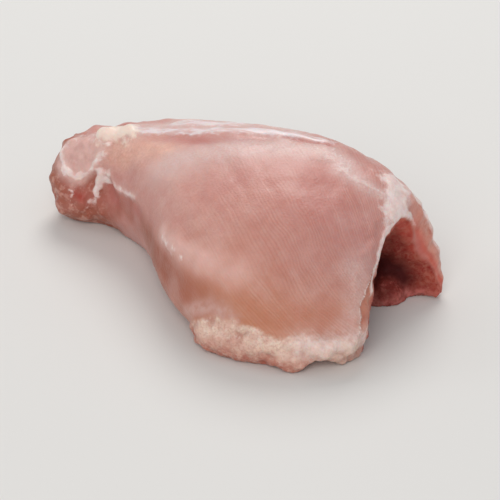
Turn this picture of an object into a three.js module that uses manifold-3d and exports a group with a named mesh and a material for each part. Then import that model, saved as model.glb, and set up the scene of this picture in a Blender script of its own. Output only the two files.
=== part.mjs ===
// A raw, skinless chicken thigh, lying rounded side up the way it is sold: one piece of meat.
// The broad top muscle is a smooth dome that narrows to the knee. At the hip the meat is a bent
// sheet, so its cut end is an arch with a hollow that runs in under the dome. A lumpy strip of fat
// lies along the front edge, and the muscles end in a few soft lumps at the knee.
//
// The frame: millimetres, +Z up, the ground at z = 0. +X points from the knee to the hip, and -Y is
// the front, where the fat lies. The origin is on the ground, under the middle of the piece.
//
// The meat is a field: a function that is negative inside it and about as large, in millimetres, as
// the distance to its surface. A net of triangles is laid where the field is zero, and then cut flat
// where the piece rests on the ground.

import * as THREE from "three";
import { mergeVertices } from "three/addons/utils/BufferGeometryUtils.js";
import Module from "manifold-3d";

const { clamp, lerp, seededRandom } = THREE.MathUtils;

// Driving dimensions, in millimetres.
const length = 131; // from the knee to the hip, with a little more than the cut leaves
const width = 74; // across the widest part of the dome
const height = 42; // the crest of the dome
const cell = 2.4; // the size of the net's cells

// The dome's cross-sections, from the knee to the hip. at is a share of the length. front, back and
// crown (the y of the top line) are shares of the width. top, the height of the crest, waist, the
// height where the section is widest, and tuck, how far under the ground its sides would meet, are
// shares of the height.
const sections = [
  { at: -0.56, front: -0.11, back: 0.17, crown: 0.03, top: 0.42, waist: 0.2, tuck: 0.12 },
  { at: -0.46, front: -0.125, back: 0.22, crown: 0.04, top: 0.56, waist: 0.28, tuck: 0.12 },
  { at: -0.34, front: -0.09, back: 0.3, crown: 0.06, top: 0.71, waist: 0.38, tuck: 0.12 },
  { at: -0.18, front: -0.2, back: 0.4, crown: 0.09, top: 0.85, waist: 0.36, tuck: 0.12 },
  { at: 0, front: -0.41, back: 0.47, crown: 0.12, top: 0.97, waist: 0.25, tuck: 0.12 },
  { at: 0.14, front: -0.49, back: 0.49, crown: 0.16, top: 0.99, waist: 0.2, tuck: 0.12 },
  { at: 0.27, front: -0.45, back: 0.47, crown: 0.19, top: 0.9, waist: 0.18, tuck: 0.12 },
  { at: 0.36, front: -0.35, back: 0.42, crown: 0.18, top: 0.735, waist: 0.16, tuck: 0.18 },
  { at: 0.48, front: -0.1, back: 0.32, crown: 0.2, top: 0.5, waist: 0.16, tuck: 0.4 },
];
const roundness = 2.2; // the power of the cross-section's curve: 2 is an ellipse

const kneeEnd = -0.49 * length; // where the knee's round end comes to a stop

// The cut at the hip end: a plane that leans back with height and is a little askew.
const cut = { foot: 0.44 * length, lean: 0.29, skew: 0.18 };

// The hollow: an arch that widens from its inner end to the cut.
const hollow = {
  depth: 50, // from the cut to its inner end
  middle: 7, // y of the middle of its foot
  toFront: 22, // from the middle to the front sheet, at the cut
  toBack: 23, // and to the back one
  height: 42, // at the cut, if the dome were as high there
  lean: 0.2, // how far its top leans towards the back, as a share of its height
  flare: 0.7, // the power of the curve along which it widens: below 1, it flares like a trumpet
  wall: 4.2, // the least thickness of the sheet of meat round it
};

// The muscle's edge that is folded into the hollow, seen in its mouth.
const innerFold = { at: [0.24, 0.22, 0], radii: [14, 6, 8] };

// The ends of the muscles at the knee. The places of lumps are shares of the length, the width and
// the height.
const kneeEnds = [
  { at: [-0.43, 0.03, 0.27], radii: [8, 9, 9] },
  { at: [-0.41, 0.13, 0.3], radii: [11, 8, 8.5] },
  { at: [-0.42, -0.05, 0.18], radii: [8, 8, 7] },
];

// The fat along the front edge: a row of lumps on the foot of the dome, between two shares of the
// length. inset is how far their middles lie inside the dome's front, and rise how far above the
// ground at the row's start and at its end, in millimetres. uneven is how much each lump's place and
// size vary.
const fat = {
  from: 0.15,
  to: 0.4,
  count: 8,
  inset: 2.2,
  rise: [3.8, 6.5],
  radii: [5.4, 4.2, 5.4],
  uneven: 0.25,
  seed: 11,
};
const fatTag = { at: [0.345, -0.39, 0.05], radii: [4.5, 3.6, 3.2] }; // a drop that lies furthest out

// Where the meat is off the ground: under the fat's end, and at the front corner of the sheet.
const lifts = [
  { at: [0.38, -0.33, 0], radii: [5.5, 5, 2.6] },
  { at: [0.48, -0.2, 0], radii: [8.5, 10, 9] },
];

// How softly two masses run into each other.
const kneeRounding = 16;
const rimRounding = 2.4;
const foldRounding = 5;
const fatRounding = 2;

const under = 6; // how far the field goes on below the ground, before it is cut

const smoothMin = (a, b, r) => {
  const h = Math.max(r - Math.abs(a - b), 0) / r;
  return Math.min(a, b) - (h * h * r) / 4;
};
const smoothMax = (a, b, r) => -smoothMin(-a, -b, r);

// The slope of a field at a point, by differences.
const nudge = 0.01;
function slopeOf(field, p) {
  const along = (axis) => {
    const q = p.clone();
    q[axis] += nudge;
    const ahead = field(q);
    q[axis] -= 2 * nudge;
    return (ahead - field(q)) / (2 * nudge);
  };
  return new THREE.Vector3(along("x"), along("y"), along("z"));
}

// The cross-section at x, by a cubic curve through the sections.
function sectionAt(x) {
  const s = x / length;
  const last = sections.length - 1;
  const next = clamp(sections.findIndex((one) => one.at > s), 1, last);
  const i = s >= sections[last].at ? last : next;
  const [a, b] = [sections[i - 1], sections[i]];
  const before = sections[Math.max(i - 2, 0)];
  const after = sections[Math.min(i + 1, last)];
  const span = b.at - a.at;
  const t = clamp((s - a.at) / span, 0, 1);
  const value = (key) => {
    const leave = ((b[key] - before[key]) / (b.at - before.at)) * span;
    const arrive = ((after[key] - a[key]) / (after.at - a.at)) * span;
    return (
      (2 * t ** 3 - 3 * t ** 2 + 1) * a[key] +
      (t ** 3 - 2 * t ** 2 + t) * leave +
      (3 * t ** 2 - 2 * t ** 3) * b[key] +
      (t ** 3 - t ** 2) * arrive
    );
  };
  return {
    front: value("front") * width,
    back: value("back") * width,
    crown: value("crown") * width,
    top: value("top") * height,
    waist: value("waist") * height,
    tuck: value("tuck") * height,
  };
}

function domeShape(p) {
  const { front, back, crown, top, waist, tuck } = sectionAt(p.x);
  const across = (p.y - crown) / (p.y < crown ? crown - front : back - crown);
  const up = (p.z - waist) / (p.z > waist ? top - waist : waist + tuck);
  return (Math.abs(across) ** roundness + Math.abs(up) ** roundness) ** (1 / roundness) - 1;
}

const dome = (p) => domeShape(p) / Math.max(slopeOf(domeShape, p).length(), 1 / width);

function hollowShape(p) {
  const y = p.y - hollow.middle - hollow.lean * p.z;
  const inward = Math.max((cut.foot - p.x) / hollow.depth, 0) ** hollow.flare;
  const across = y / (y < 0 ? hollow.toFront : hollow.toBack);
  return Math.hypot(across, p.z / hollow.height) + inward - 1;
}

const tunnel = (p) => hollowShape(p) / Math.max(slopeOf(hollowShape, p).length(), 1 / hollow.depth);

// A lump: an ellipsoid at a place given in shares of the piece's size.
const placed = ({ at, radii }) => ({
  centre: new THREE.Vector3(at[0] * length, at[1] * width, at[2] * height),
  radii: new THREE.Vector3(...radii),
});

function ellipsoid(p, { centre, radii }) {
  const q = p.clone().sub(centre).divide(radii);
  const far = q.length();
  return far < 0.1 ? -radii.x : (far * (far - 1)) / q.divide(radii).length();
}

const kneeLumps = kneeEnds.map(placed);
const fold = placed(innerFold);
const gaps = lifts.map(placed);

// The fat's lumps in a row. The draw starts from the same seed, so it is the same each run.
function fatRow() {
  seededRandom(fat.seed);
  const vary = (size) => size * (1 + fat.uneven * (2 * seededRandom() - 1));
  const row = Array.from({ length: fat.count }, (_, i) => {
    const t = i / (fat.count - 1);
    const x = lerp(fat.from, fat.to, t) * length;
    const y = sectionAt(x).front + vary(fat.inset);
    return {
      centre: new THREE.Vector3(x, y, vary(lerp(...fat.rise, t))),
      radii: new THREE.Vector3(...fat.radii.map(vary)),
    };
  });
  return [...row, placed(fatTag)];
}
const fatLumps = fatRow();

function meat(p) {
  const top = dome(p);
  let d = smoothMax(top, kneeEnd - p.x, kneeRounding);
  for (const lump of kneeLumps) d = smoothMin(d, ellipsoid(p, lump), foldRounding);
  d = smoothMax(d, p.x - (cut.foot - cut.lean * p.z - cut.skew * p.y), rimRounding);
  d = smoothMax(d, -smoothMax(tunnel(p), top + hollow.wall, rimRounding), rimRounding);
  d = smoothMin(d, ellipsoid(p, fold), foldRounding);
  for (const lump of fatLumps) d = smoothMin(d, ellipsoid(p, lump), fatRounding);
  for (const gap of gaps) d = smoothMax(d, -ellipsoid(p, gap), fatRounding);
  return Math.max(d, -under - p.z);
}

// A net of triangles over a field. Each cell of a grid that the surface crosses holds one vertex,
// and each edge of the grid that it cuts has a face of four vertices round it.
function netOf(field, box, size) {
  const low = box.min;
  const n = box.getSize(new THREE.Vector3()).divideScalar(size).ceil().addScalar(1);
  const index = (i, j, k) => i + n.x * (j + n.y * k);
  const values = new Float64Array(n.x * n.y * n.z);
  const point = (i, j, k) => new THREE.Vector3(i, j, k).multiplyScalar(size).add(low);
  for (let k = 0; k < n.z; k++)
    for (let j = 0; j < n.y; j++)
      for (let i = 0; i < n.x; i++) values[index(i, j, k)] = field(point(i, j, k));
  unpinch(values, n);

  const corners = [0, 1, 2, 3, 4, 5, 6, 7].map((c) => new THREE.Vector3(c & 1, (c >> 1) & 1, c >> 2));
  const edges = corners.flatMap((_, a) => [1, 2, 4].filter((bit) => !(a & bit)).map((bit) => [a, a | bit]));

  const vertexOf = new Int32Array(values.length).fill(-1);
  const vertices = [];
  for (let k = 0; k < n.z - 1; k++)
    for (let j = 0; j < n.y - 1; j++)
      for (let i = 0; i < n.x - 1; i++) {
        const at = corners.map((c) => values[index(i + c.x, j + c.y, k + c.z)]);
        const crossed = edges.filter(([a, b]) => at[a] < 0 !== at[b] < 0);
        if (!crossed.length) continue;
        const middle = new THREE.Vector3();
        for (const [a, b] of crossed) {
          const share = at[a] / (at[a] - at[b]);
          middle.add(corners[a].clone().lerp(corners[b], share));
        }
        vertexOf[index(i, j, k)] = vertices.length;
        vertices.push(point(i, j, k).addScaledVector(middle, size / crossed.length));
      }

  const quads = [];
  const steps = [new THREE.Vector3(1, 0, 0), new THREE.Vector3(0, 1, 0), new THREE.Vector3(0, 0, 1)];
  for (let k = 1; k < n.z - 1; k++)
    for (let j = 1; j < n.y - 1; j++)
      for (let i = 1; i < n.x - 1; i++)
        steps.forEach((step, axis) => {
          const inside = values[index(i, j, k)] < 0;
          if (inside === values[index(i + step.x, j + step.y, k + step.z)] < 0) return;
          const u = steps[(axis + 1) % 3];
          const v = steps[(axis + 2) % 3];
          const quad = [
            index(i, j, k),
            index(i - u.x, j - u.y, k - u.z),
            index(i - u.x - v.x, j - u.y - v.y, k - u.z - v.z),
            index(i - v.x, j - v.y, k - v.z),
          ].map((one) => vertexOf[one]);
          quads.push(inside ? quad : quad.reverse());
        });
  relax(vertices, quads, field);

  // Each quad is split along its shorter diagonal.
  const triangles = quads.flatMap(([a, b, c, d]) =>
    vertices[a].distanceTo(vertices[c]) < vertices[b].distanceTo(vertices[d])
      ? [a, b, c, a, c, d]
      : [a, b, d, b, c, d],
  );
  return new THREE.BufferGeometry().setFromPoints(vertices).setIndex(triangles);
}

// Where the four corners of a face of the grid alternate between inside and outside, the net would
// touch itself along a line. There the outer corner that is closer to the surface goes inside.
function unpinch(values, n) {
  const strides = [1, n.x, n.x * n.y];
  const last = values.length - n.x * n.y - n.x - 1;
  let found = true;
  while (found) {
    found = false;
    for (let a = 0; a < last; a++)
      strides.forEach((u, axis) => {
        const v = strides[(axis + 1) % 3];
        const [near, far, left, right] = [a, a + u + v, a + u, a + v].map((one) => values[one] < 0);
        if (near !== far || left !== right || near === left) return;
        const [b, c] = near ? [a + u, a + v] : [a, a + u + v];
        const weak = values[b] < values[c] ? b : c;
        values[weak] = -Math.max(values[weak], nudge);
        found = true;
      });
  }
}

// Evens out the net: each vertex moves halfway to the middle of its neighbours, and then back on to
// the surface, by at most half a cell.
const relaxRounds = 4;
function relax(vertices, quads, field) {
  const neighbours = vertices.map(() => new Set());
  for (const quad of quads)
    quad.forEach((a, i) => {
      const b = quad[(i + 1) % 4];
      neighbours[a].add(b);
      neighbours[b].add(a);
    });
  for (let round = 0; round < relaxRounds; round++) {
    const before = vertices.map((v) => v.clone());
    vertices.forEach((v, i) => {
      const middle = new THREE.Vector3();
      for (const j of neighbours[i]) middle.add(before[j]);
      v.lerp(middle.divideScalar(neighbours[i].size), 0.5);
      const slope = slopeOf(field, v);
      const steepness = Math.max(slope.length(), 0.5);
      v.addScaledVector(slope, clamp(-field(v), -cell / 2, cell / 2) / steepness ** 2);
    });
  }
}

const wasm = await Module();
wasm.setup();

function solidOf(geometry) {
  const vertProperties = new Float32Array(geometry.getAttribute("position").array);
  const triVerts = new Uint32Array(geometry.index.array);
  return new wasm.Manifold(new wasm.Mesh({ numProp: 3, vertProperties, triVerts }));
}

function geometryOf(solid) {
  const { vertProperties, triVerts } = solid.getMesh();
  const geometry = new THREE.BufferGeometry();
  geometry.setAttribute("position", new THREE.BufferAttribute(vertProperties, 3));
  geometry.setIndex(new THREE.BufferAttribute(triVerts, 1));
  geometry.computeVertexNormals();
  return geometry;
}

// Vertices that lie close to the ground's level go on to it, so that the cut leaves no slivers.
const sliver = 0.45;
function levelled(geometry) {
  const position = geometry.getAttribute("position");
  for (let i = 0; i < position.count; i++)
    if (Math.abs(position.getZ(i)) < sliver) position.setZ(i, 0);
  return geometry;
}

// A box with its top at z = 0 takes off what would sink into the ground.
function ground() {
  const box = new THREE.BoxGeometry(2 * length, 2 * width, height);
  box.translate(0, 0, -height / 2);
  box.deleteAttribute("normal");
  box.deleteAttribute("uv");
  return solidOf(mergeVertices(box));
}

const reach = new THREE.Box3(
  new THREE.Vector3(-0.6 * length, -0.65 * width, -under - 2 * cell),
  new THREE.Vector3(0.6 * length, 0.65 * width, height + 2 * cell),
);

const flesh = new THREE.MeshStandardMaterial({ color: 0xd2958a, roughness: 0.35, metalness: 0 });
const uncut = solidOf(levelled(netOf(meat, reach, cell)));
const thigh = new THREE.Mesh(geometryOf(uncut.subtract(ground())), flesh);
thigh.name = "thigh";

// The origin goes under the middle of the piece.
const middle = new THREE.Box3().setFromObject(thigh).getCenter(new THREE.Vector3());
thigh.position.set(-middle.x, -middle.y, 0);

const root = new THREE.Group();
root.add(thigh);

export default root;
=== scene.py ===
# %% [markdown]
# # A raw chicken thigh
#
# One skinless thigh lies on a pale table, rounded side up. Its main form comes from a solid: a dome of
# meat that narrows to the knee, an arched hollow at the hip end, and a strip of fat along the front.
# This lesson turns that faceted solid into meat. A finer skin of faces is laid over it, relief is
# pressed into it where muscle, fat and membrane meet, and one layered material gives it its colours
# and its wet surface.

# %% Load the solid
import math

import bmesh
import bpy
import numpy as np
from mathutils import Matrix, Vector, noise


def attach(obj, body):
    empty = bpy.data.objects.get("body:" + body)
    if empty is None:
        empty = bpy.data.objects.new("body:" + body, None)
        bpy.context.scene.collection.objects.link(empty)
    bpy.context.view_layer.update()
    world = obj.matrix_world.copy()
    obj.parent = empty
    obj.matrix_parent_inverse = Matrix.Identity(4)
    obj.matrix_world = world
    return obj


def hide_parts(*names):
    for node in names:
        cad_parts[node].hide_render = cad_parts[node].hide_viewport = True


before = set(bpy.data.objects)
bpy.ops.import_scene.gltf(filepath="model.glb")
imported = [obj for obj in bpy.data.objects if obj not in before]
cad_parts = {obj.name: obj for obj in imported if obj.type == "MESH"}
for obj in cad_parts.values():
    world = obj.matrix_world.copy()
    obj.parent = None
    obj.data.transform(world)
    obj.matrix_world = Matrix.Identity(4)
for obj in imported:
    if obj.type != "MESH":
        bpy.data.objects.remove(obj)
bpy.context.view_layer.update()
MM = 0.001  # lengths in Blender are in metres
scene = bpy.context.scene

# %% [markdown]
# ## The camera
#
# Pictures of food are taken from well back with a long lens, so that the near end doesn't look swollen.
# The camera looks down at 30 degrees, from the front and to the right, so that the open hip end shows.
# It could follow a target with a constraint, but a plain rotation is easier to read and never surprises.

# %% Camera
AZIMUTH = math.radians(40)
ELEVATION = math.radians(30)
DISTANCE = 1.09
LENS = 282
AIM = Vector((0.0097, 0.0003, 0.0104))  # what is in the middle of the picture

to_camera = Vector(
    (
        math.sin(AZIMUTH) * math.cos(ELEVATION),
        -math.cos(AZIMUTH) * math.cos(ELEVATION),
        math.sin(ELEVATION),
    )
)
camera = bpy.data.objects.new("camera", bpy.data.cameras.new("camera"))
scene.collection.objects.link(camera)
camera.data.lens = LENS
camera.location = AIM + to_camera * DISTANCE
camera.rotation_euler = (-to_camera).to_track_quat("-Z", "Y").to_euler()
scene.camera = camera
print("camera at", [round(c, 3) for c in camera.location])

# %% [markdown]
# ## The light
#
# Wet meat is described by its highlights, and a highlight is a picture of a lamp. Large soft lamps give
# broad, quiet ones. The key stands behind the thigh and to its left, so its reflection lies along the
# crest. A wide, weak fill in front keeps the near flank from going black, and a pale world does the
# rest. The view transform is the plain one, because the filmic ones turn pink meat grey.

# %% Light
LAMPS_AIM = Vector((0, 0, 0.02))  # inside the thigh, at half its height


def area_lamp(name, place, size, power, colour):
    lamp = bpy.data.objects.new(name, bpy.data.lights.new(name, "AREA"))
    lamp.data.shape = "DISK"
    lamp.data.size = size
    lamp.data.energy = power
    lamp.data.color = colour
    lamp.location = place
    lamp.rotation_euler = (Vector(place) - LAMPS_AIM).to_track_quat("Z", "Y").to_euler()
    scene.collection.objects.link(lamp)


area_lamp("key", place=(-0.42, 0.6, 0.8), size=0.6, power=5.4, colour=(1.0, 0.98, 0.95))
area_lamp("fill", place=(0.5, -0.85, 0.8), size=0.8, power=5.9, colour=(1.0, 0.97, 0.94))
area_lamp("left", place=(-0.75, -0.35, 0.55), size=0.3, power=0.4, colour=(1.0, 0.98, 0.96))
scene.world = bpy.data.worlds.new("studio")
scene.world.use_nodes = True
sky = scene.world.node_tree.nodes["Background"]
sky.inputs["Color"].default_value = (0.95, 0.97, 1.0, 1)
sky.inputs["Strength"].default_value = 0.46
scene.view_settings.view_transform = "Standard"

# %% [markdown]
# ## The table
#
# A plain pale surface catches the soft shadow that shows where the meat touches down. It belongs to the
# stage and not to the thigh, so one flat face is enough, far larger than the picture.

# %% Table
TABLE_REACH = 3  # from its middle to each side


def new_piece(name, shape):
    mesh = bpy.data.meshes.new(name)
    shape.to_mesh(mesh)
    shape.free()
    piece = bpy.data.objects.new(name, mesh)
    scene.collection.objects.link(piece)
    return piece


flat = bmesh.new()
bmesh.ops.create_grid(flat, x_segments=1, y_segments=1, size=TABLE_REACH)
table = new_piece("table", flat)
pale = bpy.data.materials.new("pale_table")
pale.use_nodes = True
pale_shader = pale.node_tree.nodes["Principled BSDF"]
pale_shader.inputs["Base Color"].default_value = (0.74, 0.73, 0.71, 1)
pale_shader.inputs["Roughness"].default_value = 0.7
table.data.materials.append(pale)
print("table faces:", len(table.data.polygons))

# %% [markdown]
# ## A finer skin over the solid
#
# The solid is a shell of about eight thousand flat faces, and its flat underside is a fan of slivers.
# Subdividing it would keep both. A voxel remesh doesn't care how the faces lie: it lays an even net over
# the whole form. It is done twice. The first, coarse net is smoothed until the facets are gone, and the
# second is fine enough to hold relief a millimetre wide.

# %% Remesh and smooth
WELD = 0.002 * MM  # corners of the loose triangles that are closer than this are one
COARSE = 1.1 * MM
FINE = 0.6 * MM


def apply_modifiers(piece, *steps):
    for kind, settings in steps:
        modifier = piece.modifiers.new(kind, kind)
        for key, value in settings.items():
            setattr(modifier, key, value)
    graph = bpy.context.evaluated_depsgraph_get()
    done = bpy.data.meshes.new_from_object(piece.evaluated_get(graph))
    piece.modifiers.clear()
    piece.data = done


form = bmesh.new()
form.from_mesh(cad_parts["thigh"].data)
bmesh.ops.remove_doubles(form, verts=form.verts, dist=WELD)
thigh = new_piece("raw_thigh", form)
apply_modifiers(
    thigh,
    ("REMESH", {"mode": "VOXEL", "voxel_size": COARSE}),
    ("SMOOTH", {"factor": 0.5, "iterations": 10}),
    ("REMESH", {"mode": "VOXEL", "voxel_size": FINE}),
    ("SMOOTH", {"factor": 0.5, "iterations": 5}),
)
print("faces:", len(thigh.data.polygons), "points:", len(thigh.data.vertices))

# %% [markdown]
# ## Where things are
#
# Everything that follows, relief and colour alike, needs to know where on the thigh a point is: on the
# fat, under the silverskin, inside the hollow. Each of these is a field, a number from 0 to 1 at every
# point. Painting them by hand would look fine once, but it couldn't be repeated. Here each is worked
# out from a few named places, in millimetres, and a little noise that frays its edge.

# %% Points, steps and bells
def read(source, what):
    values = np.zeros(len(source) * 3, np.float32)
    source.foreach_get(what, values)
    return values.reshape(-1, 3).astype(float)


points = read(thigh.data.vertices, "co") / MM
normals = read(thigh.data.vertex_normals, "vector")
x, y, z = points.T  # views of the points, so they follow when the points are moved


def step(low, high, value):
    """0 at low, 1 at high, and an easy slope between them."""
    t = np.clip((value - low) / (high - low), 0, 1)
    return t * t * (3 - 2 * t)


def bell(value, middle, width):
    """1 at the middle, and a soft fall to 0 on both sides of it."""
    return np.exp(-(((value - middle) / width) ** 2))


def strongest(*fields):
    """At each point, the strongest of these fields."""
    return np.maximum.reduce(fields)


def covered(field):
    """How many points a field covers."""
    return int((field > 0.5).sum())


print("points measured:", len(points))

# %% [markdown]
# ### Noise and lumps
#
# No edge on meat is even. Blender's noise gives the same value at the same place every time, so a seed
# only has to move the place. Smooth noise is for edges and swellings. Fat is a pack of small round
# lobes, and the distance to the nearest of many scattered points looks just like that.

# %% Noise and lumps
NOISE_SWING = 1.6  # brings the noise's range to about -1 to 1
NOISE_SHIFT = 31.7  # how far one seed's place is from the next, in bumps
LUMP_SHIFT = 17.3
LUMP_REACH = 0.9  # from a lump's top to the creases round it, in lump sizes


def wobble(size, seed=0, where=None):
    """Smooth noise from about -1 to 1, with bumps of about this size in millimetres."""
    where = points if where is None else where
    return np.array([noise.noise(Vector(p)) for p in where / size + NOISE_SHIFT * seed]) * NOISE_SWING


def lumps(size, seed=0):
    """Round lumps packed side by side: 1 on top of each, near 0 in the creases between them."""
    nearest = np.array([noise.voronoi(Vector(p))[0][0] for p in points / size + LUMP_SHIFT * seed])
    return np.clip(1 - (nearest / LUMP_REACH) ** 2, 0, 1)


print("noise at the first point:", round(float(wobble(6, 0, points[:1])[0]), 3))

# %% [markdown]
# ### Lines on the meat
#
# Most marks on the thigh are long: a groove, a scrap of membrane, a highlight. Each is drawn as a line
# through a few places on the surface. A soft line fades out evenly, and a stroke has a ragged edge and
# may be broken here and there.

# %% Lines and strokes
def from_path(path):
    """How far each point is from a line through these places, and how far below it."""
    stops = np.array(path, float)
    best = np.full(len(points), np.inf)
    below = np.zeros(len(points))
    for start, end in zip(stops[:-1], stops[1:]):
        along = end - start
        share = np.clip((points - start) @ along / (along @ along), 0, 1)
        offset = points - start - share[:, None] * along
        distance = np.linalg.norm(offset, axis=1)
        below = np.where(distance < best, -offset[:, 2], below)
        best = np.minimum(best, distance)
    return best, below


def soft_line(path, width):
    """A field along a line: 1 on it, and a soft fall to 0 beside it."""
    return bell(from_path(path)[0], 0, width)


def stroke(path, half_width, fray=0.4, seed=0, breaks=0.0):
    """A field along a line: 1 on it, 0.5 at its ragged edge, 0 well away from it."""
    edge = half_width * (1 + fray * wobble(2.4, seed) + 0.6 * fray * wobble(6, seed + 1))
    inked = np.clip(1 - from_path(path)[0] / (2 * np.maximum(edge, 0.2)), 0, 1)
    return inked * (1 - breaks * step(0, 0.5, wobble(4, seed + 2)))


print("line tools ready")

# %% [markdown]
# ### The hollow and its rim
#
# At the hip the meat is a bent sheet. Its inner face is dark, bare muscle, and the cut edge between the
# two faces is a rim. Picking faces by hand would leave a jagged edge between them. The hollow was carved
# with an arch that narrows inwards, so the same arch tells which points lie in it, with the folded edge
# of muscle that rests inside.

# %% The cut and the arch
CUT_FOOT = 61.8  # x of the cut where it meets the table, in the middle
CUT_LEAN = 0.29
CUT_SKEW = 0.18
ARCH_MIDDLE = 8.4  # y of the middle of the arch's foot
ARCH_LEAN = 0.2
ARCH_TO_FRONT = 22
ARCH_TO_BACK = 23
ARCH_HEIGHT = 42
ARCH_DEPTH = 50
ARCH_FLARE = 0.7  # the power of the curve along which it widens: below 1, as a trumpet does

cut_slope = math.hypot(1, CUT_LEAN, CUT_SKEW)
faces_cut = normals @ (np.array([1, CUT_SKEW, CUT_LEAN]) / cut_slope)
to_cut = (x - CUT_FOOT + CUT_LEAN * z + CUT_SKEW * y) / cut_slope
across_arch = y - ARCH_MIDDLE - ARCH_LEAN * z
arch_side = np.where(across_arch < 0, ARCH_TO_FRONT, ARCH_TO_BACK)
narrowing = np.maximum((CUT_FOOT - x) / ARCH_DEPTH, 0) ** ARCH_FLARE
arch = np.hypot(across_arch / arch_side, z / ARCH_HEIGHT) + narrowing - 1
print("within the arch:", int((arch < 0).sum()), "points")

# %% [markdown]
# The arch alone would give an edge as clean as a pipe's. On the thigh the rim is wider on the folded
# side, at the back, and over the arch's top, and it wavers a little. So the value of the arch at which
# the inside begins changes from place to place.

# %% Inside and rim
INNER_EDGE = 0.025
FOLDED_RIM = 0.055  # how much of the arch the rim takes on the folded side
TOP_RIM = 0.045  # and at the top
DEEP = 14  # how far in the meat is darkest

flap = step(6, 12, across_arch)  # the folded side
near_cut = step(-5.5, -2, to_cut)
inner_edge = INNER_EDGE - FOLDED_RIM * flap * near_cut * step(6, 16, z) + 0.006 * wobble(2.5, 30)
inner_edge -= TOP_RIM * bell(across_arch, -3, 4.5) * near_cut * step(20, 26, z)
inside = 1 - step(inner_edge, inner_edge + 0.04, arch)
outer = 1 - inside
# Painted shade, darker the farther in from the cut.
deep_shade = np.clip(-to_cut / DEEP, 0, 1) * inside
rim = step(0.5, 0.85, faces_cut) * step(-2.6, -1.2, to_cut) * outer
lip = bell(arch, inner_edge + 0.055, 0.035 + 0.012 * wobble(2.5, 43)) * near_cut  # just outside the edge
print("inside the hollow:", covered(inside), "points, on the rim:", covered(rim))

# %% [markdown]
# ### In the hollow
#
# Where light reaches the wall, under the arch's top on the folded side, painted light brightens it.
# Deeper in, the meat is folded: a crease darkened by painted shade, with a small lobe of meat below it,
# whose pale flecks are painted glints. Both are small and in the shade, so they are low relief and
# colour, and not pieces of their own.

# %% Painted light, fold and lobe
LIT_WALL = [(48, 14, 28), (49, 17.4, 24.7), (48.8, 20.2, 21.7), (50, 22.3, 19.6), (51.3, 24.3, 15.8)]
DARK_FOLD = [(42, 16, 9.5), (43, 19.6, 8.8), (45.5, 21.3, 7.6), (47, 21.8, 5.6)]
LOBE = [(45.6, 16.6, 5.2), (47.2, 17.6, 3.8)]

# Painted light where the wall is lit.
lit_wall = soft_line(LIT_WALL, 4 + 1.2 * wobble(5, 66)) * inside
# The fold's darkness in colour is painted shade.
dark_fold = soft_line(DARK_FOLD, 3.2 + 0.8 * wobble(4, 75)) * inside
lobe = soft_line(LOBE, 2.4) * inside
print("in the fold:", covered(dark_fold), "points, on the lobe:", covered(lobe))

# %% [markdown]
# ### Fat along the front edge
#
# The strip starts under the dome's front, swells, and runs to the hip corner. Its upper edge rises and
# falls, so its height is given at a few stations along the thigh. A swelling and a crease beside it
# part its two halves, a thin haze lies along the start of its upper edge, and a white end runs on round
# the hip's front corner. Loose lumps could be strewn along a curve, but real fat is one grown mass, so
# the lumps are pressed into the same skin as the meat.

# %% Fat
FAT_X = (16, 22, 27, 32, 36, 40, 44, 49, 51, 54, 57, 62)
FAT_HEIGHT = (4, 8.5, 11.5, 12.4, 11.8, 10.6, 10.2, 9.6, 9.8, 10.2, 10.0, 8.8)
FAT_HAZE = [(17, -33.5, 9), (20, -34.6, 11.5), (24, -34.7, 13), (28, -34.5, 13.5), (32, -34, 13)]
FAT_CREASE = [(35.5, -33.6, 10.6), (37, -33.8, 8.4), (38.5, -34, 6), (39.5, -34, 4)]
FAT_SWELL = [(32.5, -34.2, 11), (35.5, -33.6, 10.4)]
FAT_END = [(52, -27.5, 9), (56, -24, 8.5), (59.5, -18, 9), (60.7, -11.8, 8), (60.9, -10.8, 5)]
FAT_END_WIDTH = ((52, 58), (3.6, 2.6))  # how wide it is, at these x

fat_edge = np.interp(x, FAT_X, FAT_HEIGHT) + 0.7 * wobble(6, 1) + 0.3 * wobble(2, 2)
on_front = step(-7, -12, y) * step(12, 19, x + 1.5 * wobble(4, 3))
fat = step(-2.4, 2.0, fat_edge - z) * on_front * outer
fat_haze = soft_line(FAT_HAZE, 2.6 + 0.7 * wobble(4, 58)) * outer
fat_crease = soft_line(FAT_CREASE, 0.9 + 0.2 * wobble(3, 59))
fat_swell = soft_line(FAT_SWELL, 2.2)
fat_end = soft_line(FAT_END, np.interp(x, *FAT_END_WIDTH) + 0.6 * wobble(3, 54)) * outer
fat_tops = strongest(0.65 * lumps(6, 24) + 0.35 * lumps(2.6, 25), 0.62 * fat_swell)
print("on the fat:", covered(fat), "points")

# %% [markdown]
# ### The way the fibres run
#
# Muscle is made of long fibres, tied in bundles. Here they fan out from the knee, wind down over the dome
# and reach the hip edge at a slant. One number says how far a point is across them. Noise that is drawn
# out along the fibres and measured across them gives the soft ridges of the bundles.

# %% The way of the fibres
FIBRES_ROUND = 30  # the radius on which the fibres are spaced
FIBRES_Y = 6  # the line along the thigh that they wind round
FIBRES_Z = 2
FIBRES_SLANT = 0.15  # how far they move across for each millimetre along, at the knee
FIBRES_FAN = 0.003  # and how fast that grows
FAN_START = -30  # from this x on
BUNDLE_STRETCH = 0.14  # lengths along the fibres count as this share, which draws the noise out

turn = np.arctan2(y - FIBRES_Y, z - FIBRES_Z) * FIBRES_ROUND
slant = FIBRES_SLANT * x + FIBRES_FAN * np.maximum(x - FAN_START, 0) ** 2
across = turn + slant + 0.9 * wobble(15, 40) + 0.25 * wobble(5, 41)
strand_space = np.stack([BUNDLE_STRETCH * x, across, 0 * x], axis=1)
bundle_ridges = wobble(4.5, 64, strand_space) + 0.5 * wobble(2.2, 65, strand_space)
print("fibres across the thigh, in mm:", round(float(np.ptp(across)), 1))

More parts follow.
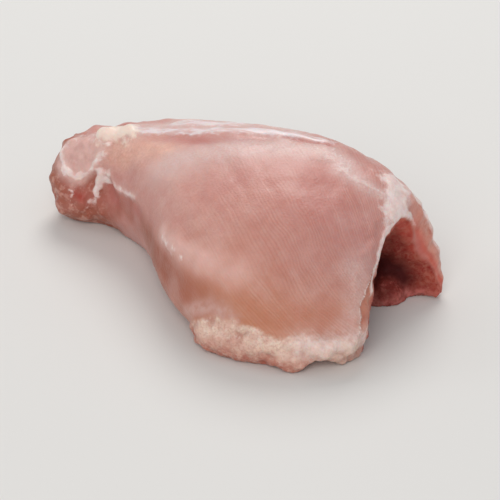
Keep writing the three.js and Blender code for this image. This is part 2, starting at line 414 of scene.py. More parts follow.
# %% [markdown]
# ### Silverskin and creases
#
# Silverskin is the thin, pale sheet that wraps a muscle. It is left along the back of the crest, as a
# pale band with two bright lines in it. In front of it the muscles part in a long groove, and a short
# red crease carries on from it. A second sheet of faces over the meat would be far thicker than the
# real one, so the silverskin is only drawn on the skin that is there.

# %% Silverskin, groove and red crease
SILVER_BAND = [(-36, 5, 31), (-27.7, 7.5, 33.4), (-21.5, 9.5, 35), (-15.3, 11, 36.2), (-9, 12.5, 37.7),
               (-2.4, 14.5, 39.3), (3.6, 16.5, 40), (10, 17.5, 41)]
SILVER_LOW = [(-36, 3.4, 31), (-33.9, 3.8, 31.6), (-27.8, 4.3, 33.4), (-20.6, 5.2, 35.3), (-13.7, 6.3, 37),
              (-7.2, 7.9, 38.6), (-1.1, 9.9, 39.9), (4.4, 12.5, 40.7), (8.9, 14.1, 41.2), (13.2, 16, 41.4),
              (18.4, 17.6, 41.5), (23, 19.5, 41)]
SILVER_TOP = [(-25, 10, 34), (-19.7, 10.5, 35.6), (-13.2, 11.5, 37.2), (-6, 14.5, 38.6)]
GROOVE = [(-30, 1, 32), (-27.4, 1.5, 32.9), (-19.7, 1.7, 35), (-12.1, 2.1, 37), (-4.9, 2.8, 38.8),
          (-0.2, 4.6, 39.8), (3, 7.4, 40.5), (8, 10.4, 41.2)]
RED_CREASE = [(11.5, 13.2, 41.5), (14.6, 14, 41.7), (18.1, 14.8, 41.7), (20.9, 16.2, 41.5), (24, 18, 41)]

silver_band = soft_line(SILVER_BAND, 4.5 + 1.2 * wobble(8, 4)) * outer
silver_lines = strongest(stroke(SILVER_LOW, 1.5, 0.35, 49), stroke(SILVER_TOP, 2.3, 0.35, 50)) * outer
groove = soft_line(GROOVE, 2.5 + 0.6 * wobble(9, 6)) * (0.45 + 0.55 * step(-32, -12, x))
red_crease = soft_line(RED_CREASE, 0.9 + 0.3 * wobble(3, 51))
print("under silverskin:", covered(silver_band), "points, in the groove:", covered(groove))

# %% [markdown]
# ### Painted highlight along the crest, haze on the hind side
#
# The pale band along the crest is a painted highlight, where the key lamp's reflection lies, with a few
# painted glints at its end and a rosy, bare patch beside it. A film too thin to see as a sheet still takes
# the colour out of the meat under it, and it lies in broad, broken patches over the hind side. Neither
# has an edge, so they are a soft line with a width that changes, and plain noise.

# %% Painted highlight on the crest, haze on the hind side
CREST = [(-13, -8, 34), (-8.6, -6.5, 36), (-5.2, -4.5, 37.6), (-2.1, -3.5, 38.4), (0.4, -1.5, 39.3),
         (3.8, 1.2, 40), (7.8, 3.6, 40.8), (13.1, 6.5, 41.4), (18.3, 9.5, 41.8), (23.4, 12.5, 41.4),
         (28, 14, 41), (32, 14, 40)]
CREST_WIDTH = ((-10, 10, 22, 32), (6.5, 7, 5.5, 3.2))  # how wide it is, at these x
ROSY = [(29, 6.9, 40.5), (31.8, 3.4, 39.5), (34.3, 0.3, 38.4), (36.6, -2.6, 37.2)]
# Painted glints at the crest's end.
CREST_GLINTS = [(24, 14.4, 41.4), (28.4, 15, 40.8), (32, 14.8, 40)]

# The crest's pale band: a painted highlight, and a low rise in the relief.
crest = soft_line(CREST, np.interp(x, *CREST_WIDTH) + 1.4 * wobble(10, 8))
rosy = soft_line(ROSY, 7 + 1.5 * wobble(7, 70))
painted_glints = stroke(CREST_GLINTS, 2.2, 0.6, 52)
hind = step(14, 24, y) * outer
hind_film = 0.55 * hind * step(0.05, 0.7, wobble(13, 63) + 0.25 * bundle_ridges)
print("on the crest:", covered(crest), "points, on the hind side:", covered(hind))

# %% [markdown]
# ### Membrane at the hip and the cut's edge
#
# At the hip the membrane is thicker and white. It lies at the top corner, down the free edge of the
# sheet and along the folded side. On the front side of the cut a strip of brown, drier meat runs up
# the rim, and its width is given at a few heights.

# %% Hip membrane and the strip on the cut
HIP_STREAK = [(33.9, 11.2, 39.5), (38.1, 11.6, 38.2), (41.7, 12.6, 36.8), (46, 15, 34.3)]
HIP_PATCH = [(44.5, 21, 34.3), (47.2, 18.8, 33), (49.6, 15.2, 31.4)]
FLAP_EDGE = [(43, 22.5, 34.5), (46, 27, 30), (48.3, 30, 24), (50.3, 32, 17), (52.3, 33, 10)]
EDGE_HAZE = [(53.9, -9, 24.7), (56.2, -10, 21.7), (57.4, -11.5, 18.5), (58, -13, 15)]
STRIP_Z = (10, 13.5, 16.2, 18.4, 20.3, 22, 24)
STRIP_REACH = (0.24, 0.24, 0.27, 0.25, 0.2, 0.14, 0.06)  # how far out it goes at each height, by the arch

hip_streak = soft_line(HIP_STREAK, 3.0 + 0.8 * wobble(5, 9)) * outer
hip_scraps = strongest(0.5 * stroke(HIP_STREAK, 1.2, 0.5, 9), stroke(HIP_PATCH, 4.2, 0.35, 10))
hip_skin = strongest(hip_scraps, 0.8 * stroke(FLAP_EDGE, 2.2, 0.6, 33, 0.3)) * outer
free_edge = lip * (1 - flap) * step(14, 21, z + 2 * wobble(4, 11))
edge_haze = soft_line(EDGE_HAZE, 4.5 + 1.2 * wobble(5, 34)) * outer
strip_off = arch - np.interp(z, STRIP_Z, STRIP_REACH) - 0.02 * wobble(2.5, 53)
at_strip = step(-1.8, -1.0, to_cut) * step(0.2, 0.5, faces_cut) * (1 - flap) * step(24, 22, z)
strip = at_strip * step(0.02, -0.02, strip_off) * outer
strip_line = at_strip * bell(strip_off, 0.02, 0.025)
print("under hip membrane:", covered(hip_skin), "points, on the brown strip:", covered(strip))

# %% [markdown]
# ### The knee
#
# At the knee the muscles end in soft lumps. A round brow stands at the tip, with a smooth face behind
# it. Below the face lies a small pocket, and a long shaded line runs on from there under the dome. The
# solid has the large lumps, and these smaller forms are pressed into the fine skin.

# %% Forms of the knee
KNEE_BROW = [(-58.7, -2.5, 15.5), (-57.9, 0.6, 18.7), (-57.2, 4.2, 20.2), (-56, 8.5, 21.3)]
KNEE_FACE = [(-50.6, -4.6, 20.1), (-48.7, -3.2, 22.7), (-46.6, -2, 24.7)]
KNEE_POCKET = [(-37.3, -5.8, 18), (-37.4, -5.9, 15), (-36, -6.3, 13)]
KNEE_UNDER = [(-46.4, -8.4, 11), (-38, -6.5, 11), (-30.1, -8.3, 14.6), (-25.2, -10.5, 15.8),
              (-19.9, -13, 17)]

knee = step(-28, -42, x)
knee_brow = soft_line(KNEE_BROW, 5)
knee_face = step(8.5, 5.5, from_path(KNEE_FACE)[0] + 0.8 * wobble(5, 37))
knee_pocket = soft_line(KNEE_POCKET, 1.7 + 0.5 * wobble(3, 31))
knee_under = soft_line(KNEE_UNDER, 3.6 + 1.2 * wobble(5, 32))
print("on the knee:", covered(knee), "points")

# %% [markdown]
# ### Torn membrane over the knee
#
# Where the thigh was parted from the drumstick, the sheet that wraps both is torn. What is left is a
# pale ring, with a rise, a streak and a fork from it, and a long branch that runs on towards the dome.
# Fine tatters lie between them. Drawing each thread would take hundreds of places, but smooth noise
# crosses 0 along thin, winding lines, and these do for the threads.

# %% Torn membrane
KNEE_RING = [(-56.6, -1, 21.5), (-56.1, -3.1, 18.4), (-52.4, -6.4, 16.9), (-48.6, -6.9, 15.6),
             (-46.2, -5.6, 17.2), (-43.5, -4.7, 20)]
KNEE_RISE = [(-43.5, -4.7, 20), (-42, -3.9, 22.8), (-40.9, -2.8, 25.2), (-40.4, -0.4, 27.9)]
KNEE_STREAK = [(-41.0, -4.9, 19.5), (-41.8, -5.2, 15.5), (-42.1, -5.6, 12)]
KNEE_FORK = [(-40.5, -4.9, 19.8), (-39.2, -5.4, 17.4)]
KNEE_BRANCH = [(-38.4, -5.4, 20), (-36, -6.2, 18.2), (-33.2, -7.1, 17.7), (-30.2, -8.2, 18.3),
               (-27.1, -9.4, 19.3), (-22.3, -11.4, 20.8)]

knee_skin = strongest(
    0.9 * stroke(KNEE_RING, 0.6, 0.6, 12, 0.35),
    0.55 * stroke(KNEE_RISE, 0.8, 0.7, 67, 0.3),
    stroke(KNEE_STREAK, 1.1, 0.8, 13),
    0.8 * stroke(KNEE_FORK, 1.0, 0.7, 44),
    0.6 * stroke(KNEE_BRANCH, 1.0, 0.8, 14, 0.4),
)
threads = np.abs(wobble(6, 60) + 0.35 * wobble(2, 61))
tatters = step(0.24, 0.04, threads) * step(-0.1, 0.4, wobble(8, 62))
tatters *= step(-36, -41, x) * step(5, 9, z) * step(8, 3, y)
knee_haze = 0.6 * soft_line(KNEE_RING, 1.6) + 0.8 * soft_line(KNEE_BRANCH, 1.8)
print("under knee membrane:", covered(knee_skin), "points, in tatters:", covered(tatters))

# %% [markdown]
# ### Fat and colour on the knee
#
# A pad of cream fat lies on top of the knee, with a peach tint running back from it along the neck.
# There are a few red spots, where blood is left. Low down and at the tip the meat is brown, and painted
# shade darkens it further there. These are broad and soft, so a line with a width does for each of them
# too.

# %% Fat, peach, red and brown
KNEE_FAT = [(-45.4, 2.6, 27.4), (-43.6, 3.4, 28.4), (-40.5, 3.8, 29.6), (-36, 2.6, 30.6)]
KNEE_CREAM = [(-43, 0.3, 27.7), (-40.5, 0.9, 28.8), (-37.5, 1.1, 29.8)]
KNEE_PALE = [(-42, -2.5, 25), (-37, -3.5, 26), (-32.5, -4, 27.3), (-28, -3.5, 30), (-25, 1, 33)]
PEACH = [(-43, 0, 27.5), (-36, -1.5, 29.5), (-27, -2, 31.5), (-18, -3, 34)]
RED_SPOTS = [(-47.5, -8.6, 11.5), (-46, -8.2, 11)]
RED_TOP = [(-44.3, 5.6, 28.4), (-43, 7.2, 28.9), (-40.5, 8.2, 29.6)]

knee_fat = strongest(stroke(KNEE_FAT, 3.0, 0.4, 15), 0.8 * stroke(KNEE_CREAM, 1.9, 0.6, 73))
peach = strongest(
    soft_line(PEACH, 5 + 1.2 * wobble(7, 45)),
    0.9 * soft_line(KNEE_PALE, 4.5 + wobble(5, 72)),
)
red = strongest(soft_line(RED_SPOTS, 1.3), 0.7 * soft_line(RED_TOP, 1.6))
knee_low = step(18, 11, z + 2.2 * wobble(6, 35)) + step(-53, -58, x + 1.5 * wobble(5, 55))
# Brown meat, darkened more by painted shade low down and at the tip.
knee_brown_and_shade = np.clip(knee_low, 0, 1) * knee * (0.35 + 0.65 * step(8, -1, y))
print("on the knee's fat:", covered(knee_fat), "points, on its brown meat:", covered(knee_brown_and_shade))

# %% [markdown]
# ### Neck, shoulder and flank
#
# The dome's front has a shoulder, a long swelling that catches the light, with a dimple above it, and
# its lit band is a painted highlight. The flank under it falls in and is darkened by painted shade, and
# so are the meat under the membrane's branch and the low front of the neck. How far a point lies below
# the shoulder's line tells its lit side from its shaded side, which distance alone can't.

# %% Neck, shoulder and flank
NECK_SHADE = [(-20, -13, 13), (-12, -17.5, 14), (-4, -22.5, 15.5), (2, -26, 15)]
DIMPLE = [(8, -16, 35.4), (11, -13, 37.2), (14, -9, 38.8)]
SHOULDER_TIP = [(-0.5, -24.2, 21.6), (2.5, -26, 21.3), (6.5, -28, 21.6), (11, -29.7, 21.8)]
SHOULDER = [(-2.5, -23.2, 22.6), (1.5, -25.4, 22.4), (7.2, -27.5, 23), (12.5, -29.1, 23.4),
            (17.2, -30.2, 23.6), (22.2, -30.4, 24.2), (26.5, -30, 24.4), (31, -29.2, 24.2)]
SHOULDER_WIDTH = ((0, 12, 28), (2.4, 3.2, 4.8))  # how wide it is, at these x
SHADE_REACH = ((0, 16, 30), (5.5, 6, 11))  # how far below it the flank grows darker, at these x

neck_shade = soft_line(NECK_SHADE, 5 + 1.2 * wobble(6, 71))
branch_off, under_branch = from_path(KNEE_BRANCH)
branch_shade = step(0.4, 2.4, under_branch) * step(11, 6, branch_off + 1.5 * wobble(4, 68))
branch_shade *= step(-22, -28, x) * step(0, -4, y)
shoulder_off, under_shoulder = from_path(SHOULDER)
shoulder_width = np.interp(x, *SHOULDER_WIDTH) + 0.8 * wobble(6, 16)
# The band along the shoulder that takes the painted highlight; the relief raises it a little too.
shoulder_highlight = bell(shoulder_off, 0, shoulder_width) * (0.85 + 0.25 * wobble(4, 46)) * step(40, 28, x)
shoulder_tip = 0.5 * stroke(SHOULDER_TIP, 1.4, 0.7, 56, 0.3)
dimple = soft_line(DIMPLE, 4)
shade_end = np.interp(x, *SHADE_REACH) + 2
# Painted shade on the flank under the shoulder.
flank_shade = step(0.6, shade_end, under_shoulder) * step(26, 10, shoulder_off + 2.5 * wobble(7, 74))
flank_shade *= step(36, 14, x) * step(-34, -10, x)
flank = bell(under_shoulder, 9, 4.5) * step(16, 10, shoulder_off) * step(32, 24, x) * step(-6, 6, x)
print("on the shoulder:", covered(shoulder_highlight), "points, on the dark flank:", covered(flank_shade))

# %% [markdown]
# ## Relief
#
# The fields now say how far the surface goes out or in, in millimetres: two at the knee's brow, one on
# the lumps of fat, and a few tenths for a membrane's edge or a crease. Bump alone would do from far
# away, but the outline and the shadows need real depth.

# %% How far the surface moves
relief = 0.5 * wobble(17, 20) + 0.14 * wobble(7, 21) + 0.06 * wobble(3, 36)
relief += 0.16 * bundle_ridges * (1 + hind) * (1 - fat) * outer
relief += knee * (0.7 * wobble(6, 22) + (0.15 + 0.25 * step(9, 0, y)) * wobble(2.6, 23))
relief += fat * (2.1 * fat_tops - 1.0 + 0.4 * wobble(9, 26) + 0.25 * wobble(2.5, 47))
relief -= 0.35 * fat_crease * fat
relief += 0.35 * silver_band + 0.3 * step(0.2, 0.8, silver_lines) - 0.65 * groove + 0.3 * crest
relief -= 0.55 * red_crease + 0.35 * strip
relief += 0.3 * step(0.2, 0.8, hip_skin) + 0.25 * free_edge + 0.3 * strip_line + 0.4 * fat_end
relief += 0.6 * step(0.2, 0.9, knee_skin) + 0.8 * step(0.3, 0.8, knee_fat) + 0.3 * tatters
relief += 2.1 * knee_brow + 0.7 * knee_face - 1.3 * knee_pocket - 0.4 * knee_under - 0.5 * branch_shade
relief += 0.9 * shoulder_highlight * step(-5, 5, x) - 0.7 * flank - 0.3 * dimple + 0.25 * step(0.2, 0.8, shoulder_tip)
relief += inside * (0.5 * wobble(6, 27) + 0.4 * wobble(2.4, 28)) + rim * 0.4 * wobble(3, 29)
relief += 1.3 * lobe - 0.8 * dark_fold * (1 - lobe)
print("relief, in mm:", round(relief.min(), 2), "to", round(relief.max(), 2))

# %% [markdown]
# Soft meat settles flat on a table, so the underside stays as it is, and nothing goes below it. Only the
# back corner of the folded side doesn't lie down: it curls up. A sculpted shape key could do all this,
# but it would need a hand to sculpt it. Moving each point along its normal follows the fields by itself.

# %% Push the surface
CORNER = (55.5, 34.5, 0)
CORNER_WIDTH = 7
CORNER_LIFT = 2.6
CORNER_PULL = 0.8  # how far it draws back from the cut as it curls

lying = step(-0.75, -0.95, normals[:, 2]) * (z < 1)
points += normals * (relief * (1 - lying))[:, None]
corner = bell(np.linalg.norm(points - CORNER, axis=1), 0, CORNER_WIDTH)
points[:, 2] += CORNER_LIFT * corner
points[:, 0] -= CORNER_PULL * corner
points[:, 2] = np.maximum(points[:, 2], 0)
thigh.data.vertices.foreach_set("co", (points * MM).astype(np.float32).ravel())
thigh.data.update()
thigh.data.shade_smooth()
print("height, in mm:", round(points[:, 2].max(), 2))

# %% [markdown]
# ## Zones of colour
#
# Some fields are for colour only, and are measured on the pushed surface. Broad bells along and up the
# thigh give the zones: tan where the meat is thick and low, mauve near the hip, pale along the crest,
# and stringy towards the hip, where the fibres show most. Painted glints lie on top of the knee, and the
# foot of the hollow's wall is paler than the rest of it, with its own pink and painted glints.

# %% Zones of colour
KNEE_TOP = [(-56, 0.5, 21.5), (-53, 2, 24), (-49.5, 2.6, 26), (-46.5, 3, 27.2)]

warm = bell(x, 34, 26) * bell(z, 12, 15) * step(0, -14, y) * outer
mauve = bell(x, 50, 14) * bell(z, 30, 12) * step(14, 2, y) * outer
pale_zone = bell(x, -10, 22) * bell(z, 34, 10) + 0.5 * bell(x, 16, 14) * bell(z, 31, 8) * step(0, -10, y)
stringy = step(-15, 38, x) * (0.8 + 0.3 * wobble(14, 42)) * outer
shaded_skin = 0.75 * branch_shade + 0.5 * neck_shade
low = (1 - step(1.5, 8.5, z + 0.8 * wobble(4, 69))) * (0.35 + 0.65 * step(56, 48, x))
# Painted glints along the top of the knee.
knee_glints = stroke(KNEE_TOP, 2.2, 0.5, 57)
# The foot of the hollow's wall: its own pink, with painted glints.
foot_pink_and_glints = inside * step(4.5, 1, z + wobble(3, 48))
print("warm:", covered(warm), "mauve:", covered(mauve), "pale:", covered(pale_zone), "points")

# %% [markdown]
# ## What the material reads
#
# The fields go on to the mesh as attributes, so that the material can tell fat from flesh. An image
# could hold them too, but it would need an unwrapped mesh, and it would be coarser than the points are.
# The places along and across the fibres go with them, for the pattern of the fibres.

# %% Attributes
FIELDS = {
    "fat": fat,
    "cream": knee_fat,
    "fat_tops": fat_tops,
    "silver": silver_lines,
    "membrane": strongest(hip_skin, 0.8 * free_edge, 0.6 * strip_line, knee_skin, shoulder_tip),
    "tatters": tatters,
    # The crest's painted highlight, with the membranes' film.
    "film_and_sheen": np.clip(0.85 * crest + 0.6 * edge_haze + 0.75 * hip_streak + 0.8 * silver_band, 0, 1),
    "haze": np.clip(0.9 * fat_haze + hind_film, 0, 1),
    "painted_glints": strongest(painted_glints, knee_glints),
    "fat_end": fat_end,
    "knee_film": np.clip(0.7 * knee_face + 0.6 * knee_haze, 0, 1),
    "peach": peach,
    "shoulder_highlight": np.clip(shoulder_highlight, 0, 1),
    "foot_pink_and_glints": foot_pink_and_glints,
    "crease_shade": np.clip(groove + 0.8 * knee_under + knee_pocket + 0.4 * dimple, 0, 1),
    "knee": step(-33, -44, x) * (0.25 + 0.75 * step(7, 0, y)),
    "brown_and_shade": np.clip(0.72 * flank_shade + 1.2 * knee_brown_and_shade + 0.7 * knee_pocket + shaded_skin, 0, 1),
    "red": strongest(red, 0.75 * red_crease),
    "inside": inside,
    "deep_shade": np.clip(0.6 * deep_shade + 0.7 * dark_fold * (1 - lobe), 0, 1),
    "lobe": lobe,
    "painted_wall_light": lit_wall,
    "rim": rim * flap,
    "strip": strip,
    "flap_lip": lip * flap,
    "warm": warm,
    "mauve": mauve,
    "pale": np.clip(pale_zone, 0, 1) * outer,
    "rosy": rosy * outer,
    "stringy": np.clip(stringy, 0, 1),
    "along": x * MM,
    "across": across * MM,
    "low": low,
}
for name, values in FIELDS.items():
    attribute = thigh.data.attributes.new(name, "FLOAT", "POINT")
    attribute.data.foreach_set("value", values.astype(np.float32))
print("attributes:", sorted(FIELDS))

# %% [markdown]
# ## The material
#
# Meat lets light in, scatters it and lets it out red, and a film of water lies on top. So the material
# is a Principled shader with subsurface scattering under a thin coat. Its colour is built in layers,
# as the thigh is: muscle, then fibres, then silverskin and fat over them. A few helpers keep the node
# tree short to read: each call adds one node or a few, and links their inputs.

# %% Node helpers
def srgb(*screen):
    """A colour as read from a screen, from 0 to 255, as the linear colour that a shader needs."""
    parts = [c / 255 for c in screen]
    return (*[c / 12.92 if c <= 0.04045 else ((c + 0.055) / 1.055) ** 2.4 for c in parts], 1)


def node(kind, inputs=(), **settings):
    made = tree.nodes.new("ShaderNode" + kind)
    for key, value in settings.items():
        setattr(made, key, value)
    for socket, value in dict(inputs).items():
        if isinstance(value, bpy.types.NodeSocket):
            tree.links.new(value, made.inputs[socket])
        else:
            made.inputs[socket].default_value = value
    return made


def field(name):
    return node("Attribute", attribute_name=name).outputs["Fac"]


def times(a, b):
    return node("Math", {0: a, 1: b}, operation="MULTIPLY", use_clamp=True).outputs[0]


def plus(a, b):
    return node("Math", {0: a, 1: b}, operation="ADD").outputs[0]


def spread(value, low, high, to_low=0.0, to_high=1.0):
    """Ease a value: low becomes to_low and high becomes to_high."""
    ease = {0: value, 1: low, 2: high, 3: to_low, 4: to_high}
    return node("MapRange", ease, interpolation_type="SMOOTHSTEP").outputs[0]


meat = bpy.data.materials.new("raw_flesh")
meat.use_nodes = True
tree = meat.node_tree
shader = tree.nodes["Principled BSDF"]
print("material:", meat.name)

# %% [markdown]
# Colours are laid over each other with Mix nodes, and most patterns are noise that is stretched until
# its spots stand out. Three more helpers do that, so that a layer of the meat takes one line below.

# %% Helpers for layers
def blend(share, under, over):
    """One colour over another. In a Mix node, sockets 6 and 7 are colours, and output 2 is their mix."""
    return node("Mix", {0: share, 6: under, 7: over}, data_type="RGBA").outputs[2]


def tint(under, where, amount, *screen):
    """A screen colour over another colour, by at most this amount."""
    return blend(times(where, amount), under, srgb(*screen))


def speckle(where, size, low=0.3, high=0.7, detail=3, roughness=0.5):
    """Noise with spots of about this size in millimetres, stretched so that low is 0 and high is 1."""
    settings = {"Vector": where, "Scale": 1 / (size * MM), "Detail": detail, "Roughness": roughness}
    return spread(node("TexNoise", settings).outputs["Fac"], low, high)


print("a tint of the meat:", [round(c, 3) for c in srgb(200, 138, 128)])

# %% [markdown]
# ### Patterns in the meat
#
# Three kinds of pattern run through all the layers. Fibres are a wave texture, in a space whose axes are
# the stored distances along and across them. The streaks in the silverskin are noise, turned to run
# along the crest and drawn out. The rest is plain noise at many sizes: clouds of colour, mottling, and
# grain finer than the mesh. All of it reads the piece's own space, so it stays put when the piece moves.

# %% Patterns in the meat
FIBRE_STRETCH = 0.07  # lengths along the fibres count as this share
FIBRE_WAVES = 370  # puts the rows of fibres about 0.85 mm apart
CREST_HEADING = 0.27  # the angle from X to the crest, seen from above, in radians
SILVER_STRETCH = (0.07, 1, 1)

place = node("TexCoord").outputs["Object"]
along_fibres = node("Math", {0: field("along"), 1: FIBRE_STRETCH}, operation="MULTIPLY").outputs[0]
strands = node("CombineXYZ", {0: along_fibres, 1: field("across"), 2: 0.0}).outputs[0]
ripples = {"Vector": strands, "Scale": FIBRE_WAVES, "Distortion": 2.4, "Detail": 2, "Detail Scale": 1.2}
rows = node("TexWave", ripples, bands_direction="Y").outputs["Fac"]
fibres = times(rows, speckle(strands, 1.6, 0.3, 0.75, 2))
gaps = times(spread(rows, 0.5, 0.0), speckle(strands, 2.3, 0.35, 0.75, 2))
bundles = speckle(strands, 3.0, 0.3, 0.7, 2)
clouds = speckle(place, 20)
patches = speckle(place, 8, 0.35, 0.68)
mottle = speckle(place, 2.8, 0.3, 0.7, 4, 0.6)
grain = speckle(place, 0.7, 0.32, 0.7, 2)
turned = {"Vector": place, "Angle": -CREST_HEADING}
along_crest = node("VectorRotate", turned, rotation_type="Z_AXIS").outputs[0]
drawn = node("VectorMath", {0: along_crest, 1: SILVER_STRETCH}, operation="MULTIPLY").outputs[0]
streaks = speckle(drawn, 1.3, 0.3, 0.7)
ragged = speckle(place, 1.6, 0.2, 0.8, 4, 0.65)
veil = speckle(place, 13, 0.45, 0.75, 3, 0.55)
flecks = speckle(place, 1.9, 0.46, 0.62, 4, 0.6)
blotches = speckle(place, 4.2, 0.44, 0.62, 3, 0.6)
print("nodes in the patterns:", len(tree.nodes))

# %% [markdown]
# ### Muscle
#
# Bare muscle is never one pink. It is tan where it is thick and low, mauve at the hip where a membrane
# covers it, and paler along the crest. Fibres show as fine light lines, most of all near the hip. Each
# tint lies over those before it, as thin paint does, so the broad zones come first and small marks last.

# %% Muscle colours
colour = blend(clouds, srgb(200, 138, 128), srgb(208, 150, 142))
colour = tint(colour, field("pale"), 0.8, 222, 176, 166)
colour = tint(colour, field("peach"), 0.8, 243, 194, 172)
colour = tint(colour, field("warm"), 1.0, 196, 126, 90)
colour = tint(colour, field("mauve"), 0.75, 188, 132, 128)
colour = tint(colour, patches, 0.2, 192, 124, 116)
colour = tint(colour, blotches, 0.16, 190, 108, 94)
colour = tint(colour, mottle, 0.2, 222, 176, 164)
colour = tint(colour, grain, 0.22, 184, 118, 106)
stringy_here = field("stringy")
colour = tint(colour, times(bundles, stringy_here), 0.2, 182, 112, 98)
colour = tint(colour, times(fibres, stringy_here), 0.3, 230, 186, 172)
colour = tint(colour, times(gaps, stringy_here), 0.3, 176, 104, 90)
colour = tint(colour, field("warm"), 0.35, 198, 128, 84)
# Painted shade on the flank, under the branch, at the neck and in the knee's pocket, over the knee's brown
# meat.
colour = tint(colour, field("brown_and_shade"), 0.95, 162, 88, 64)
colour = tint(colour, times(field("knee"), blotches), 0.5, 158, 84, 66)
colour = tint(colour, times(field("knee"), flecks), 0.42, 224, 180, 166)
# Painted shade, darker and redder, in the groove, the knee's pocket, the line under the knee and the
# dimple.
colour = tint(colour, field("crease_shade"), 0.7, 188, 112, 104)
# Painted highlight along the shoulder.
colour = tint(colour, field("shoulder_highlight"), 0.75, 236, 192, 182)
colour = tint(colour, veil, 0.22, 226, 190, 184)
colour = tint(colour, field("rosy"), 0.5, 190, 116, 106)
# Painted highlight along the crest, and the membranes' film, broken up by grain.
film_and_sheen_share = times(field("film_and_sheen"), spread(grain, 0.0, 1.0, 0.5, 0.8))
colour = blend(film_and_sheen_share, colour, srgb(226, 203, 198))
hazy = times(field("haze"), spread(mottle, 0.0, 1.0, 0.5, 0.85))
colour = blend(hazy, colour, srgb(212, 174, 166))
colour = tint(colour, field("knee_film"), 0.7, 236, 200, 192)
colour = tint(colour, field("red"), 0.8, 168, 62, 48)
print("nodes with the muscle:", len(tree.nodes))

# %% [markdown]
# ### The hollow
#
# The inner face has no membrane, so it is wet, dark red meat. Painted light makes it brightest at its
# upper edge and painted shade darkest deep inside, where little light comes in, but for the paler lobe,
# whose pale flecks are painted glints. The cut rim is a duller, browner pink. The lamps' own shade leaves
# the hollow too light, so its depth is in the colour as well.

# %% Hollow colours
inner = blend(mottle, srgb(142, 32, 22), srgb(174, 80, 62))
inner = tint(inner, grain, 0.3, 186, 112, 96)
# Painted light on the upper wall.
inner = tint(inner, field("painted_wall_light"), 0.6, 206, 84, 68)
inner = tint(inner, grain, 0.25, 150, 70, 62)
inner = tint(inner, flecks, 0.4, 196, 122, 104)
# Painted shade deep in the hollow and in the fold.
inner = blend(field("deep_shade"), inner, srgb(74, 6, 4))
# The lobe: dark red, with pale flecks that are painted glints.
inner = blend(times(field("lobe"), spread(ragged, 0.0, 1.0, 0.7, 0.5)), inner, srgb(118, 34, 28))
inner = blend(times(field("lobe"), spread(ragged, 0.5, 0.85, 0.0, 0.6)), inner, srgb(196, 104, 98))
# Painted glints over the pink of the hollow's foot.
inner = tint(inner, times(field("foot_pink_and_glints"), ragged), 0.8, 214, 126, 120)
pink_rim = blend(mottle, srgb(198, 116, 96), srgb(222, 156, 138))
colour = blend(times(field("rim"), 0.85), colour, pink_rim)
brown_strip = blend(mottle, srgb(184, 98, 72), srgb(204, 130, 104))
colour = blend(times(field("strip"), 0.85), colour, brown_strip)
colour = tint(colour, field("flap_lip"), 0.6, 196, 70, 54)
colour = blend(field("inside"), colour, inner)
print("nodes with the hollow:", len(tree.nodes))

# %% [markdown]
# ### Membrane and silverskin
#
# Both have ragged edges. The stored field falls off evenly, so adding fine noise to it before it is cut
# off at a threshold frays the edge for free, far finer than the mesh itself. Silverskin also shows the
# meat through it in streaks.

# %% Membrane and silverskin colours
membranes = plus(field("membrane"), times(times(field("tatters"), mottle), 0.7))
frayed = plus(membranes, times(ragged, 0.32))
skin_share = spread(frayed, 0.36, 0.84)
skin = blend(mottle, srgb(250, 238, 234), srgb(238, 212, 206))
colour = blend(times(skin_share, 0.85), colour, skin)
silver_edge = spread(plus(field("silver"), times(ragged, 0.25)), 0.45, 0.8)
silver_share = times(silver_edge, spread(streaks, 0.2, 0.9, 0.3, 0.95))
colour = blend(silver_share, colour, srgb(234, 220, 221))
# Painted glints: small bright flecks at the crest's end and on top of the knee.
glints = times(spread(field("painted_glints"), 0.2, 0.7), spread(ragged, 0.55, 0.8))
colour = tint(colour, glints, 0.5, 240, 226, 222)
print("nodes with the membranes:", len(tree.nodes))

# %% [markdown]
# ### Fat
#
# Fat is pale cream on top of its lumps and darker and pinker in the creases between them, partly
# painted shade, and its edges fray as the membrane's do. The pad on the knee is the creamiest, the hip
# end is nearly white, and the strip is darker and pinker towards its foot. The lumps' field gives the
# creases, so colour and relief agree.

# %% Fat colours
creamy = spread(plus(field("cream"), times(ragged, 0.35)), 0.5, 0.85)
colour = tint(colour, creamy, 0.9, 247, 226, 211)
fat_share = spread(plus(field("fat"), times(ragged, 0.22)), 0.3, 0.95)
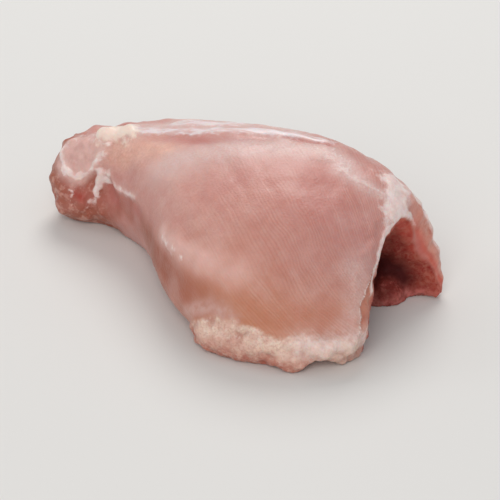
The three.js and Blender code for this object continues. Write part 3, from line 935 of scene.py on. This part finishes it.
# Darker in the creases between the lumps, partly painted shade.
fatty = blend(spread(field("fat_tops"), 0.15, 0.75), srgb(190, 132, 116), srgb(236, 208, 190))
fatty = tint(fatty, blotches, 0.45, 206, 152, 138)
fatty = tint(fatty, mottle, 0.25, 208, 158, 142)
fatty = tint(fatty, spread(ragged, 0.45, 0.9), 0.42, 246, 228, 214)
fatty = tint(fatty, spread(grain, 0.55, 0.95), 0.3, 188, 126, 110)
# Darker and pinker towards the foot of the strip.
fatty = blend(times(field("low"), spread(ragged, 0.0, 0.8, 0.35, 0.95)), fatty, srgb(184, 104, 86))
colour = blend(fat_share, colour, fatty)
white_end = times(field("fat_end"), spread(ragged, 0.2, 0.8, 0.5, 0.9))
colour = blend(white_end, colour, srgb(236, 212, 206))
print("nodes with the fat:", len(tree.nodes))

# %% [markdown]
# ### Wet surface
#
# The fine relief is bump: fibres, and a grain that breaks up the highlights, as drops and tissue do.
# Real faces that fine would run into the millions. A thin coat over it is the water. What is the same
# everywhere is set on the shader itself.

# %% Surface
BUMP_HEIGHT = 0.22 * MM

ripple = times(fibres, times(stringy_here, 0.6))
height = plus(plus(ripple, times(grain, 0.3)), times(mottle, 0.5))
rough_here = plus(field("fat"), times(field("film_and_sheen"), 0.5))
height = plus(height, times(rough_here, ragged))
bump = node("Bump", {"Strength": 0.5, "Distance": BUMP_HEIGHT, "Height": height})
wet = spread(plus(times(mottle, 0.3), field("inside")), 0.0, 1.0, 0.42, 0.85)
tree.links.new(colour, shader.inputs["Base Color"])
tree.links.new(wet, shader.inputs["Roughness"])
tree.links.new(spread(field("inside"), 0.0, 1.0, 0.3, 0.06), shader.inputs["Coat Weight"])
tree.links.new(bump.outputs[0], shader.inputs["Normal"])
shader.inputs["IOR"].default_value = 1.38
shader.inputs["Subsurface Weight"].default_value = 0.3
shader.inputs["Subsurface Radius"].default_value = (1.0, 0.35, 0.22)
shader.inputs["Subsurface Scale"].default_value = 3.0 * MM
shader.inputs["Coat Roughness"].default_value = 0.24
shader.inputs["Coat IOR"].default_value = 1.33
thigh.data.materials.clear()
thigh.data.materials.append(meat)
print("nodes in the meat:", len(tree.nodes))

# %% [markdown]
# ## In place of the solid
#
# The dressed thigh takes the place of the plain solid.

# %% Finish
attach(thigh, "root")
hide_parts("thigh")
